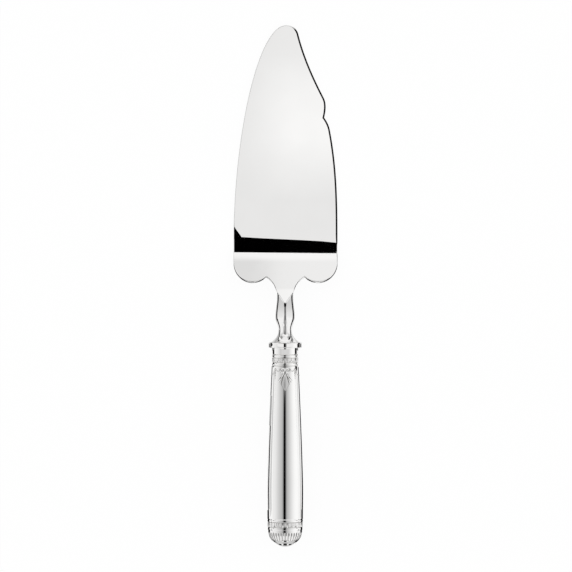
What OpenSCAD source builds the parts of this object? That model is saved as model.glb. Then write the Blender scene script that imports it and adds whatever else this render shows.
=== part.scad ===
// Cake server: a cranked serving blade on a hollow handle.
// Millimetres, +Z up. The blade's flat underside lies on Z = 0 and its bend starts at Y = 0.
// The tip looks along +Y, the handle runs to -Y, and the pommel rests on Z = 0 as well.

/* [Blade] */
// Full width of the blade
blade_w = 55.2; // [44:0.2:66]
// Length of the flat, from the start of the bend to the tip
blade_l = 111; // [92:1:140]
// Thickness of the plate
blade_t = 1.8; // [1.2:0.1:2.6]
// Sideways place of the tip
tip_x = 0.6; // [0:0.1:3]
// Width of the round beside the tip, on the notched edge
tip_w = 6.4; // [4:0.1:9]
// Length of the round beside the tip, on the notched edge
tip_l = 4.9; // [3:0.1:7]

/* [Notch] */
// Distance of the notch from the start of the bend
notch_y = 62.2; // [52:0.1:70]
// Depth of the notch, in from the blade's side
notch_inset = 7; // [5.4:0.1:8.6]
// Length of the step below the notch
step_l = 6.5; // [4:0.1:9]
// Inset of the step's foot from the blade's side
step_inset = 4; // [2.4:0.1:5]
// Length of the beak above the notch
beak_l = 10.6; // [8:0.1:13]
// Inset of the beak's upper end from the blade's side
beak_inset = 7.3; // [6:0.1:9]
// Width of the ground bevel along the notched edge
bevel_w = 1.1; // [0.6:0.1:1.6]
// Depth of the ground bevel
bevel_depth = 0.9; // [0.5:0.1:1.1]
// Length over which the bevel runs out at the bend
bevel_fade = 9; // [5:0.5:14]
// Lean of the side at the step's foot
side_angle = 11; // [6:1:16]
// Lean of the step where it meets the notch
step_angle = 38; // [28:1:48]
// Lean of the beak where it leaves the notch
beak_angle = 13; // [5:1:20]
// Lean of the long sweep where it leaves the beak
sweep_angle = 27.5; // [22:0.5:32]
// Lean of the long sweep where it reaches the tip
tip_angle = 14; // [8:1:20]

/* [Heel] */
// Radius of the bend, on the upper face
bend_r = 30; // [22:0.5:36]
// Rise of the heel beyond the bend
bend_angle = 28; // [20:1:34]
// Distance of the lobes' lowest point from the start of the bend
heel_l = 25.1; // [22:0.1:28]
// Radius of the two lobes
lobe_r = 10.3; // [8.5:0.1:12]
// Radius of the scallop between each lobe and the neck
scallop_r = 11.5; // [9.5:0.1:13.5]
// Drop of the scallop's centre below the lobes' lowest point
scallop_drop = 7.3; // [5.8:0.1:8.8]
// Distance from the start of the bend to where the neck's axis meets the plate
neck_y = 29.2; // [27:0.1:31]
// Length of the pointed tongue let into the neck
tongue_l = 6.6; // [5:0.1:8]

/* [Neck] */
// Length of the neck along the handle's axis
neck_l = 27; // [22:0.5:32]
// Width of the neck at the tongue
neck_w = 8.4; // [7:0.1:10]
// Height of the neck at the tongue
neck_h = 7.5; // [6:0.1:9]
// Width of the neck's belly
belly_w = 10.1; // [8.6:0.1:12]
// Height of the neck's belly
belly_h = 8.6; // [7.2:0.1:10.4]
// Diameter of the waist
waist_d = 7; // [5.6:0.1:8.4]
// Diameter of the flare on the collar
flare_d = 14.8; // [12:0.1:16.4]
// Diameter of the tang at the collar
tang_d = 5.2; // [4:0.1:6]
// Diameter of the tang at its end
tang_end_d = 3.4; // [2.6:0.1:4.4]
// Length of the tang beyond the collar
tang_l = 58; // [40:1:70]
// Depth of the grip grooves on the tang
grip_depth = 0.5; // [0.3:0.1:0.8]
// Width of the grip grooves on the tang
grip_w = 2; // [1:0.1:3]
// Number of grip grooves
grip_count = 4; // [2:1:6]

/* [Collar] */
// Diameter of the collar
collar_d = 17.2; // [15.6:0.1:19]
// Thickness of the collar
collar_t = 2.8; // [2:0.1:3.6]
// Rounding of the collar's rim
collar_round = 0.9; // [0.4:0.1:1]

/* [Ferrule] */
// Length of the ferrule
ferrule_l = 9.7; // [8:0.1:12]
// Diameter of the ferrule's plain band
ferrule_d = 13.7; // [12.6:0.1:15]
// Wall of the ferrule
ferrule_wall = 0.9; // [0.6:0.05:1.2]
// Width of the ferrule's bead rings
ring_w = 1.3; // [0.9:0.05:1.6]
// Height of the bead rings above the band
ring_rise = 0.25; // [0.15:0.05:0.4]
// Width of the ferrule's frieze
ring_gap = 2.5; // [1.8:0.1:3]
// Width of the grooves beside the bead rings
groove_w = 0.3; // [0.2:0.05:0.4]
// Depth of the grooves beside the bead rings
groove_depth = 0.25; // [0.1:0.05:0.35]

/* [Handle] */
// Length of the two half shells below the ferrule
shell_l = 81.2; // [66:0.2:96]
// Diameter of the shells below the ferrule
mouth_d = 14.1; // [13:0.1:15.4]
// Diameter of the shells at their fullest
grip_d = 18.9; // [16.8:0.1:21]
// Diameter of the shells at the pommel
end_d = 18.7; // [16.6:0.1:20.8]
// Distance of the fullest place from the ferrule
grip_y = 65; // [52:1:76]
// Wall of the shells
shell_wall = 0.8; // [0.5:0.05:1.1]

/* [Pommel] */
// Diameter over the upper bead of the pommel
pommel_d = 18.9; // [17:0.1:21]
// Width of the pommel's beads
bead_w = 1.3; // [0.9:0.05:1.6]
// Height of the beads above the frieze
bead_rise = 0.4; // [0.2:0.05:0.6]
// Width of the leaf frieze
frieze_w = 2.7; // [2:0.1:3.4]
// Length of the cove under the lower bead
cove_l = 1.5; // [1:0.1:2]
// Diameter of the gadrooned dome at its rim
dome_d = 17.5; // [15.8:0.1:19]
// Height of the dome, if it were whole
dome_h = 6.6; // [5:0.1:8]
// Depth of the valleys between the gadroons
gadroon_depth = 0.4; // [0.2:0.05:0.6]
// Number of gadroons
gadroon_count = 32; // [24:2:36]
// Wall of the pommel cap
pommel_wall = 0.9; // [0.6:0.05:1.2]
// Length of the spigot inside the shells
spigot_l = 4; // [2.5:0.1:6]
// Diameter of the button
button_d = 6.6; // [5.4:0.1:8]
// Height of the button
button_h = 1.2; // [0.8:0.1:1.6]
// Diameter of the button's stem
stem_d = 2.4; // [1.6:0.1:3]
// Length of the button's stem
stem_l = 2.6; // [2:0.1:4]

/* [Fits] */
// Gap for solder round the tongue, the stem and the ferrule
solder_gap = 0.05; // [0.02:0.01:0.1]
// Gap round the tang
tang_gap = 0.1; // [0.05:0.01:0.2]
// Gap between the cement and the shells
core_gap = 0.05; // [0.02:0.01:0.1]

/* [Hidden] */
$fn = 96;

// Overrun of every cut
over = blade_t;
curve_steps = 16;
arc_steps = 14;
round_steps = 6;
handle_steps = 18;
neck_steps = 40;
neck_sides = 40;
lobe_steps = 4;

// Pulls of the outline's curves, as shares of the lengths that they follow
crown_foot_share = 0.44;
crown_tip_share = 0.58;
side_pull_share = 0.345;
step_pull_share = 0.34;
beak_pull_share = 0.34;
sweep_pull_share = 0.35;
tip_pull_share = 0.56;
// Places on the neck, and how its parts run into each other
lead_share = 0.12;
belly_share = 0.51;
waist_share = 0.763;
flare_share = 2.3;
ridge_share = 1.3;
round_share = 2;
// How far the bevel's cutter reaches past the bevel, and how much of it is left at its ends
cutter_share = 0.3;
runout_share = 0.03;
// How early the handle fills out
fullness_share = 1.3;
// Where the gadroons start to run out, and where they end, along the dome
fade_shares = [0.5, 0.74];

half_w = blade_w / 2;
// Start of the risen heel, on the upper face
rise_y = -bend_r * sin(bend_angle);
rise_z = blade_t + bend_r * (1 - cos(bend_angle));
// Where the neck's axis meets the upper face
axis_z = rise_z + (neck_y + rise_y) * tan(bend_angle);

// Stations along the handle's axis, from that meeting place
ferrule_s = neck_l + collar_t;
shell_s = ferrule_s + ferrule_l;
pommel_s = shell_s + shell_l;
frieze_s = pommel_s + groove_w + bead_w;
cove_s = frieze_s + frieze_w + bead_w;
dome_s = cove_s + cove_l;

// Radii of the handle
tang_bore = tang_d / 2 + tang_gap;
ferrule_bore = ferrule_d / 2 - groove_depth - ferrule_wall;
mouth_r = mouth_d / 2;
grip_r = grip_d / 2;
end_r = end_d / 2;
pommel_r = pommel_d / 2;
frieze_r = pommel_r - bead_rise;
dome_r = dome_d / 2;
button_r = button_d / 2;
spigot_r = end_r - shell_wall - solder_gap;
cap_bore = spigot_r - pommel_wall;
seat_angle = acos(button_r / dome_r);
seat_s = dome_s + dome_h * sin(seat_angle);

// Slope of the handle that brings the upper bead down on Z = 0
touch_s = pommel_s + groove_w + bead_w / 2;
touch_r = pommel_r - bead_w / 2;
touch_z = axis_z - bead_w / 2;
handle_angle = asin(touch_z / norm([touch_s, touch_r])) - atan(touch_r / touch_s);

function lean(angle) = [-sin(angle), cos(angle)];
function bezier(a, b, c, d) = [
    for (i = [0 : curve_steps - 1])
        let (u = i / curve_steps, v = 1 - u)
            v * v * v * a + 3 * v * v * u * b + 3 * v * u * u * c + u * u * u * d
];
function arc(centre, r, from, to, steps) = [
    for (i = [0 : steps])
        let (angle = from + (to - from) * i / steps)
            centre + r * [cos(angle), sin(angle)]
];
function flipped(points) = [
    for (i = [len(points) - 1 : -1 : 0])
        [-points[i].x, points[i].y]
];
function smooth(v) = v * v * (3 - 2 * v);
function blend(a, b, v) = a + (b - a) * v;
// Meeting point of two circles on the side of the centre line
function meet(c1, r1, c2, r2) =
    let (gap = norm(c2 - c1),
         along = (gap * gap + r1 * r1 - r2 * r2) / (2 * gap),
         off = sqrt(r1 * r1 - along * along),
         way = (c2 - c1) / gap)
        c1 + along * way + off * [way.y, -way.x];

// The blade's outline from above: one shoulder, the notched edge, the crown and the other shoulder
lobe_c = [half_w - lobe_r, lobe_r - heel_l];
scallop_c = [neck_w / 2 + scallop_r, -heel_l - scallop_drop];
cusp = meet(lobe_c, lobe_r, scallop_c, scallop_r);
cusp_lobe = atan2(cusp.y - lobe_c.y, cusp.x - lobe_c.x);
cusp_scallop = atan2(cusp.y - scallop_c.y, cusp.x - scallop_c.x);
tongue_angle = 180 - asin((-neck_y - scallop_c.y) / scallop_r);
shoulder = concat(
    arc(scallop_c, scallop_r, tongue_angle, cusp_scallop, arc_steps),
    arc(lobe_c, lobe_r, cusp_lobe + 1, 0, arc_steps)
);
tongue_x = shoulder[0].x;
step_foot = [half_w - step_inset, notch_y - step_l];
notch = [half_w - notch_inset, notch_y];
beak_top = [half_w - beak_inset, notch_y + beak_l];
tip_foot = [tip_x + tip_w, blade_l - tip_l];
tip = [tip_x, blade_l];
side_pull = side_pull_share * step_foot.y;
step_pull = step_pull_share * step_l;
beak_pull = beak_pull_share * beak_l;
sweep_pull = sweep_pull_share * (tip_foot.y - beak_top.y);
ground_edge = concat(
    bezier([half_w, 0], [half_w, side_pull], step_foot - side_pull * lean(side_angle), step_foot),
    bezier(step_foot, step_foot + step_pull * lean(side_angle),
           notch - step_pull * lean(step_angle), notch),
    bezier(notch, notch + beak_pull * lean(-beak_angle),
           beak_top - beak_pull * lean(sweep_angle), beak_top),
    bezier(beak_top, beak_top + sweep_pull * lean(sweep_angle),
           tip_foot - sweep_pull * lean(tip_angle), tip_foot),
    bezier(tip_foot, tip_foot + tip_pull_share * tip_l * lean(tip_angle),
           tip + [tip_pull_share * tip_w, 0], tip)
);
outline = concat(
    [[0, -neck_y - tongue_l]],
    shoulder,
    ground_edge,
    bezier(tip, tip - [crown_tip_share * half_w, 0],
           [-half_w, crown_foot_share * blade_l], [-half_w, 0]),
    [[-half_w, 0]],
    flipped(shoulder)
);

// Puts a piece drawn along +Z on the handle's axis, with its +Y side uppermost
module on_axis() {
    translate([0, -neck_y, axis_z])
        rotate([90 + handle_angle, 0, 0])
            children();
}

// Half-space over a plane that lies a depth under the heel's upper face
module over_heel(depth) {
    translate([0, rise_y, rise_z])
        rotate([-bend_angle, 0, 0])
            translate([-half_w, -neck_l - neck_y, -depth])
                cube([blade_w, neck_l + neck_y + heel_l, neck_l]);
}

// All that lies over a face of the bent plate, which is a radius away from the bend's centre
module over_face(r, length, height) {
    circle(r = r, $fn = 2 * $fn);
    translate([0, -r])
        square([length, r + height]);
    rotate(-bend_angle)
        translate([-length, -r])
            square([length, r + height]);
}

// Section of the bent plate: flat, bend and rise
module plate_section() {
    length = blade_l + over;
    translate([0, bend_r + blade_t])
        difference() {
            over_face(bend_r + blade_t, length, 0);
            over_face(bend_r, length + over, 2 * bend_r);
        }
}

// Cutter for the bevel: a three-sided bar along the notched edge that runs out at both ends
module bevel_cutter() {
    last = len(ground_edge) - 1;
    run = [
        for (i = [0 : last])
            let (way = ground_edge[min(i + 1, last)] - ground_edge[max(i - 1, 0)],
                 inward = [-way.y, way.x] / norm(way),
                 bend_run = ground_edge[i].y / bevel_fade,
                 tip_run = (ground_edge[i].x - tip_x) / tip_w,
                 size = max(min(bend_run, tip_run, 1), runout_share),
                 out = ground_edge[i] - cutter_share * bevel_w * inward,
                 in = ground_edge[i] + (1 + cutter_share) * size * bevel_w * inward,
                 high = blade_t + cutter_share * bevel_depth,
                 low = blade_t - (1 + cutter_share) * size * bevel_depth)
                each [[out.x, out.y, high], [in.x, in.y, high], [out.x, out.y, low]]
    ];
    sides = [
        for (i = [0 : last - 1])
            for (k = [0 : 2])
                let (a = i * 3 + k, b = i * 3 + (k + 1) % 3)
                    each [[a, b + 3, a + 3], [a, b, b + 3]]
    ];
    ends = [[2, 1, 0], [last * 3, last * 3 + 1, last * 3 + 2]];
    polyhedron(points = run, faces = concat(sides, ends), convexity = 8);
}

// Serving blade: one plate, cut to its outline, bent up at the heel and ground along the notched edge
module blade() {
    color([0.86, 0.86, 0.87])
        difference() {
            intersection() {
                translate([0, 0, -over])
                    linear_extrude(height = heel_l + neck_l)
                        polygon(outline);
                translate([-half_w - over, 0, 0])
                    rotate([90, 0, 90])
                        linear_extrude(height = blade_w + 2 * over)
                            plate_section();
            }
            bevel_cutter();
        }
}

// Half width, half height and squareness of the neck at a share of its length
function neck_run(share, start, belly, waist, flare) =
    share < lead_share ? start :
    share < belly_share
        ? blend(start, belly, smooth((share - lead_share) / (belly_share - lead_share))) :
    share < waist_share
        ? blend(belly, waist, smooth((share - belly_share) / (waist_share - belly_share))) :
    blend(waist, flare, pow((share - waist_share) / (1 - waist_share), flare_share));
function neck_power(share) =
    blend(ridge_share, round_share, smooth(min(max(share, 0) / waist_share, 1)));
function bulged(value, power) = sign(value) * pow(abs(value), 2 / power);
function neck_ring(share) =
    let (w = neck_run(share, neck_w, belly_w, waist_d, flare_d) / 2,
         h = neck_run(share, neck_h, belly_h, waist_d, flare_d) / 2,
         power = neck_power(share))
        [for (k = [0 : neck_sides - 1])
            let (angle = 360 * k / neck_sides)
                [w * bulged(cos(angle), power), h * bulged(sin(angle), power), share * neck_l]];

// The neck's lofted body, from inside the blade's plane to the collar
module neck_body() {
    shares = [for (i = [0 : neck_steps]) blend(-lead_share * 2, 1, i / neck_steps)];
    points = [for (share = shares) each neck_ring(share)];
    last = neck_steps * neck_sides;
    sides = [
        for (i = [0 : neck_steps - 1])
            for (k = [0 : neck_sides - 1])
                let (a = i * neck_sides + k, b = i * neck_sides + (k + 1) % neck_sides)
                    [a, a + neck_sides, b + neck_sides, b]
    ];
    caps = [
        [for (k = [0 : neck_sides - 1]) k],
        [for (k = [neck_sides - 1 : -1 : 0]) last + k]
    ];
    polyhedron(points = points, faces = concat(sides, caps), convexity = 4);
}

// Tang section from the neck into the handle, with its grip grooves
function tang_r(s) = blend(tang_d, tang_end_d, max(s, 0) / tang_l) / 2;
module tang_section() {
    grooves = [
        for (i = [1 : grip_count])
            let (mid = collar_t + (tang_l - collar_t) * i / (grip_count + 1),
                 low = mid - grip_w / 2,
                 high = mid + grip_w / 2)
                each [[tang_r(low), low], [tang_r(low) - grip_depth, low],
                      [tang_r(high) - grip_depth, high], [tang_r(high), high]]
    ];
    polygon(concat([[0, -over], [tang_d / 2, -over], [tang_d / 2, 0]], grooves,
                   [[tang_end_d / 2, tang_l], [0, tang_l]]));
}

// Neck: ridged baluster, let over the blade's tongue, with its tang in one piece
module neck() {
    color([0.82, 0.82, 0.84]) {
        difference() {
            on_axis()
                neck_body();
            over_heel(0);
            intersection() {
                over_heel(blade_t);
                linear_extrude(height = heel_l + neck_l)
                    polygon([[half_w, heel_l], [half_w, -neck_y], [tongue_x + solder_gap, -neck_y],
                             [0, -neck_y - tongue_l - 2 * solder_gap],
                             [-tongue_x - solder_gap, -neck_y], [-half_w, -neck_y],
                             [-half_w, heel_l]]);
            }
        }
        on_axis()
            translate([0, 0, neck_l])
                rotate_extrude()
                    tang_section();
    }
}

// Collar: turned disc under the flare, bored for the tang
module collar() {
    inner = collar_d / 2 - collar_round;
    color([0.84, 0.84, 0.85])
        on_axis()
            translate([0, 0, neck_l])
                rotate_extrude()
                    polygon(concat(
                        [[tang_bore, 0]],
                        arc([inner, collar_round], collar_round, -90, 0, round_steps),
                        arc([inner, collar_t - collar_round], collar_round, 0, 90, round_steps),
                        [[tang_bore, collar_t]]
                    ));
}

// Half-round ring on a lathe profile, from its lower edge to its upper edge
function bead(r, s, width, rise) =
    let (depth = width / 2)
        arc([r + rise - depth, s + depth], depth, -60, 60, round_steps);

// Ferrule: ring soldered round the shells' mouth, with two bead rings and a frieze between
module ferrule() {
    band_r = ferrule_d / 2;
    low_r = band_r - groove_depth;
    ring_2 = shell_s - ring_w;
    ring_1 = ring_2 - groove_w - ring_gap - ring_w;
    plain = ring_1 - groove_w;
    color([0.86, 0.86, 0.87])
        on_axis()
            rotate_extrude()
                polygon(concat(
                    [[ferrule_bore, ferrule_s], [band_r, ferrule_s], [band_r, plain],
                     [low_r, plain], [low_r, ring_1]],
                    bead(band_r, ring_1, ring_w, ring_rise),
                    [[low_r, ring_1 + ring_w], [band_r, ring_1 + ring_w + groove_w],
                     [band_r, ring_2 - groove_w], [low_r, ring_2]],
                    bead(band_r, ring_2, ring_w, ring_rise),
                    [[low_r, shell_s], [ferrule_bore, shell_s]]
                ));
}

// Radius of the shells' outside, by distance from the ferrule
function shell_r(s) = s < grip_y
    ? blend(grip_r, mouth_r, pow(1 - s / grip_y, fullness_share))
    : blend(grip_r, end_r, smooth((s - grip_y) / (shell_l - grip_y)));
shell_curve = [
    for (i = [0 : handle_steps])
        let (s = shell_l * i / handle_steps)
            [shell_r(s), shell_s + s]
];
mouth_out = ferrule_bore - solder_gap;
mouth_in = mouth_out - shell_wall;
step_in = shell_r(shell_wall) - shell_wall;

// Both shells as one hollow turned form, reduced at the mouth for the ferrule
module shell_form() {
    inside = [
        for (i = [handle_steps : -1 : 1])
            [shell_curve[i].x - shell_wall, shell_curve[i].y]
    ];
    rotate_extrude()
        polygon(concat(
            [[mouth_in, ferrule_s], [mouth_out, ferrule_s], [mouth_out, shell_s]],
            shell_curve,
            inside,
            [[step_in, shell_s + shell_wall], [mouth_in, shell_s + shell_wall]]
        ));
}
module shell_half(side) {
    intersection() {
        shell_form();
        translate([-grip_d, side < 0 ? -grip_d : 0, 0])
            cube([2 * grip_d, grip_d, pommel_s + over]);
    }
}

// Upper half shell, pressed and soldered to the lower one along the sides
module handle_front() {
    color([0.88, 0.88, 0.89])
        on_axis()
            shell_half(1);
}

// Lower half shell
module handle_back() {
    color([0.85, 0.85, 0.86])
        on_axis()
            shell_half(-1);
}

// Pommel cap: spigot, two beads with a frieze between, cove and gadrooned dome
module pommel_cap() {
    low_r = frieze_r - groove_depth;
    color([0.86, 0.86, 0.87])
        on_axis() {
            rotate_extrude()
                polygon(concat(
                    [[cap_bore, pommel_s - spigot_l], [spigot_r, pommel_s - spigot_l],
                     [spigot_r, pommel_s], [low_r, pommel_s], [low_r, pommel_s + groove_w]],
                    bead(frieze_r, pommel_s + groove_w, bead_w, bead_rise),
                    [[frieze_r, frieze_s], [frieze_r, frieze_s + frieze_w]],
                    bead(frieze_r, frieze_s + frieze_w, bead_w, bead_rise - groove_depth),
                    [[low_r, cove_s], [dome_r + groove_depth, dome_s], [cap_bore, dome_s]]
                ));
            gadroon_dome();
        }
}

// The dome's closed section: lobed outside, seat for the button, bore for its stem, plain inside
module gadroon_dome() {
    sides = gadroon_count * lobe_steps;
    bore = stem_d / 2 + solder_gap;
    outer = [
        for (i = [0 : arc_steps - 1])
            let (share = i / (arc_steps - 1), angle = seat_angle * share)
                [dome_r * cos(angle), dome_s + dome_h * sin(angle),
                 gadroon_depth * (1 - smooth(min(max((share - fade_shares[0])
                     / (fade_shares[1] - fade_shares[0]), 0), 1)))]
    ];
    deep_h = dome_h - pommel_wall;
    deep_r = dome_r - pommel_wall;
    bore_angle = acos(bore / deep_r);
    inner = [
        for (i = [round_steps : -1 : 0])
            let (angle = bore_angle * i / round_steps)
                [deep_r * cos(angle), dome_s + deep_h * sin(angle), 0]
    ];
    lap_s = dome_s - cove_l / 2;
    loop = concat([[dome_r - gadroon_depth, lap_s, 0]], outer, [[bore, seat_s, 0]], inner,
                  [[deep_r, lap_s, 0]]);
    rows = len(loop);
    points = [
        for (k = [0 : sides - 1])
            let (angle = 360 * k / sides, valley = 1 - abs(sin(180 * k / lobe_steps)))
                for (p = loop)
                    let (r = p.x - p.z * valley)
                        [r * cos(angle), r * sin(angle), p.y]
    ];
    faces = [
        for (k = [0 : sides - 1])
            for (j = [0 : rows - 1])
                let (m = (k + 1) % sides, n = (j + 1) % rows)
                    [k * rows + j, k * rows + n, m * rows + n, m * rows + j]
    ];
    polyhedron(points = points, faces = faces, convexity = 6);
}

// Button: turned boss on the dome's seat, its stem soldered in the bore
module pommel_button() {
    color([0.88, 0.88, 0.89])
        on_axis()
            translate([0, 0, seat_s])
                rotate_extrude()
                    polygon(concat(
                        [[0, -stem_l], [stem_d / 2, -stem_l], [stem_d / 2, 0]],
                        [for (i = [0 : arc_steps])
                            let (angle = 90 * i / arc_steps)
                                [button_r * cos(angle), button_h * sin(angle)]]
                    ));
}

// Cement core: filler cast round the tang, from the collar to the pommel's spigot
module cement_core() {
    end_s = pommel_s - spigot_l;
    step_s = shell_s + shell_wall + core_gap;
    fill = [
        for (p = shell_curve)
            if (p.y < end_s)
                [p.x - shell_wall - core_gap, p.y]
    ];
    color([0.78, 0.76, 0.7])
        on_axis()
            difference() {
                rotate_extrude()
                    polygon(concat(
                        [[0, ferrule_s], [mouth_in - core_gap, ferrule_s],
                         [mouth_in - core_gap, step_s], [step_in - core_gap, step_s]],
                        [for (i = [1 : len(fill) - 1]) fill[i]],
                        [[shell_r(shell_l - spigot_l) - shell_wall - core_gap, end_s], [0, end_s]]
                    ));
                translate([0, 0, neck_l])
                    cylinder(r1 = tang_bore, r2 = tang_end_d / 2 + tang_gap, h = tang_l + tang_gap);
            }
}

blade();
neck();
collar();
ferrule();
handle_front();
handle_back();
pommel_cap();
pommel_button();
cement_core();
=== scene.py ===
import math

import bmesh
import bpy
from mathutils import Matrix, Vector


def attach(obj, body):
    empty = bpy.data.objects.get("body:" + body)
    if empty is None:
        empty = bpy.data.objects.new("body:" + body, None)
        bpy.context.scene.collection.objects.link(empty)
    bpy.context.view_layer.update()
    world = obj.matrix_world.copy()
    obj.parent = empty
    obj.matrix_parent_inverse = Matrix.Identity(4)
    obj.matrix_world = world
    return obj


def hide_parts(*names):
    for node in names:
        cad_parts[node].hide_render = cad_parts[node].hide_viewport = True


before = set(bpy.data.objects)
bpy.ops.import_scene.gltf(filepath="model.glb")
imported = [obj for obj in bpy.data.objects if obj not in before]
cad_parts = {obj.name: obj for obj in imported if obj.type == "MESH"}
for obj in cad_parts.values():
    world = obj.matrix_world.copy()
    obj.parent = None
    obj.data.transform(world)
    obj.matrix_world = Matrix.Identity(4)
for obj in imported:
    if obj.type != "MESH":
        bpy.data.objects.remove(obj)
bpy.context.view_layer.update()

# Blade: one plate of nickel silver, sawn to a notched outline, bent up at the heel and ground along
# the notched edge, then silver plated and mirror polished. Its pointed tongue is brazed into the neck.
# Lengths are in millimetres here and in the other sections; put_in_place brings a piece to metres.
millimetre = 0.001
blade_half, blade_thick = 27.6, 1.8
heel_rise, tongue_rise = math.radians(28), math.radians(29)
lift_from, lift_over = -27.2, 2.0
bend_over = 30.0
bend_under = bend_over + blade_thick
lobe_centre, lobe_round = Vector((17.3, -14.8)), 10.3
scallop_centre, scallop_round = Vector((15.7, -32.4)), 11.5
lobe_start, scallop_start, scallop_end = -132.6, 118.4, 163.85
tongue_root, tongue_tip = -29.2, -35.8
step_foot, notch, beak_top = Vector((23.6, 55.7)), Vector((20.6, 62.2)), Vector((20.3, 72.8))
tip_foot, tip = Vector((7.0, 106.1)), Vector((0.6, 111.0))
side_lean, notch_lean, beak_lean, sweep_lean, nose_lean = 11, 38, -13, 27.5, 14
side_pull, step_pull, beak_pull, sweep_pull, nose_pull, tip_pull = 19.2, 2.21, 3.6, 11.66, 2.74, 3.58
crown_pull, crown_foot = 16.0, 48.8
crown_trim, trim_from, trim_over = 0.016, -28.0, 6.0
edge_round, tongue_round, tongue_hold = 0.25, 0.03, 0.7
ground_wide, ground_deep = 0.9, 0.75
ground_from, ground_fade, tip_fade = -5.0, 5.0, 6.4
mitre_least = 0.6
edge_rings = 4
support_gap = 0.06
bend_slices, before_bend, past_bend = 44, 0.4, 0.5
lift_cuts, lift_step = 6, 0.4
square_over = 1.5
plate_bright, plate_recess_dark = (0.955, 0.95, 0.942), (0.6, 0.58, 0.55)


def lean(degrees):
    """A direction towards the tip, leaning inwards by so many degrees."""
    return Vector((-math.sin(math.radians(degrees)), math.cos(math.radians(degrees))))


def curve(a, b, c, d, steps):
    """Points of a cubic curve, without its last one."""
    points = []
    for i in range(steps):
        u = i / steps
        v = 1 - u
        points.append(v ** 3 * a + 3 * v * v * u * b + 3 * v * u * u * c + u ** 3 * d)
    return points


def arc(centre, r, start, stop, steps):
    """Points of an arc from one angle in degrees to another, both ends with it."""
    return [
        centre + r * Vector((math.cos(math.radians(g)), math.sin(math.radians(g))))
        for g in (start + (stop - start) * i / steps for i in range(steps + 1))
    ]


def smooth(v):
    """Eases from 0 to 1, and stays there outside that run."""
    v = min(max(v, 0.0), 1.0)
    return v * v * (3 - 2 * v)


def draw_ring(name, points):
    """A circle primitive whose points are moved to a closed line."""
    bpy.ops.object.select_all(action="DESELECT")
    bpy.ops.mesh.primitive_circle_add(vertices=len(points), fill_type="NOTHING")
    piece = bpy.context.object
    piece.name = piece.data.name = name
    for vertex, point in zip(piece.data.vertices, points):
        vertex.co = Vector(point).to_3d() if len(point) == 2 else point
    return piece


def loft(name, rings):
    """Draws the first ring, fills it and extrudes it from ring to ring into a closed form."""
    piece = draw_ring(name, rings[0])
    bpy.ops.object.mode_set(mode="EDIT")
    mesh = bmesh.from_edit_mesh(piece.data)
    place = mesh.verts.layers.int.new("place")
    for i, vertex in enumerate(mesh.verts):
        vertex[place] = i
    bpy.ops.mesh.select_all(action="SELECT")
    bpy.ops.mesh.edge_face_add()
    for ring in rings[1:]:
        bpy.ops.mesh.extrude_region_move()
        mesh = bmesh.from_edit_mesh(piece.data)
        place = mesh.verts.layers.int["place"]
        for vertex in mesh.verts:
            if vertex.select:
                vertex.co = ring[vertex[place]]
    mesh.verts.layers.int.remove(place)
    bpy.ops.mesh.select_all(action="SELECT")
    bpy.ops.mesh.normals_make_consistent(inside=False)
    bpy.ops.object.mode_set(mode="OBJECT")
    return piece


def put_in_place(piece, place, crease):
    """Brings a piece from millimetres to its place in metres and smooths all but its creases."""
    bpy.ops.object.select_all(action="DESELECT")
    piece.select_set(True)
    bpy.context.view_layer.objects.active = piece
    piece.matrix_world = Matrix.Scale(millimetre, 4) @ place
    bpy.ops.object.transform_apply(location=True, rotation=True, scale=True)
    bpy.ops.object.shade_smooth_by_angle(angle=math.radians(crease))


class Wire:
    """A socket of a node tree. Sums on it add Math nodes, and node() adds any other node."""

    def __init__(self, tree, socket=None):
        self.tree, self.socket = tree, socket

    def node(self, kind, settings=None, sockets=None, out=0):
        made = self.tree.nodes.new(kind)
        for name, value in (settings or {}).items():
            if name == "stops":
                ramp = made.color_ramp.elements
                for stop, (at, tone) in ((ramp[0], value[0]), (ramp[-1], value[-1])):
                    stop.position, stop.color = at, (tone, tone, tone, 1)
                for at, tone in value[1:-1]:
                    ramp.new(at).color = (tone, tone, tone, 1)
            else:
                setattr(made, name, value)
        for name, value in (sockets or {}).items():
            if isinstance(value, Wire):
                self.tree.links.new(value.socket, made.inputs[name])
            else:
                made.inputs[name].default_value = value
        return Wire(self.tree, made.outputs[out])

    def math(self, operation, first, second=0.0):
        return self.node("ShaderNodeMath", {"operation": operation}, {0: first, 1: second})

    def __add__(self, other):
        return self.math("ADD", self, other)

    def __sub__(self, other):
        return self.math("SUBTRACT", self, other)

    def __mul__(self, other):
        return self.math("MULTIPLY", self, other)

    def __truediv__(self, other):
        return self.math("DIVIDE", self, other)

    def __rsub__(self, other):
        return self.math("SUBTRACT", other, self)

    __radd__, __rmul__ = __add__, __mul__

    def between(self, low, high):
        """0 at low, 1 at high, eased between them."""
        return self.node(
            "ShaderNodeMapRange",
            {"interpolation_type": "SMOOTHSTEP"},
            {"Value": self, "From Min": low, "From Max": high},
        )


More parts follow.
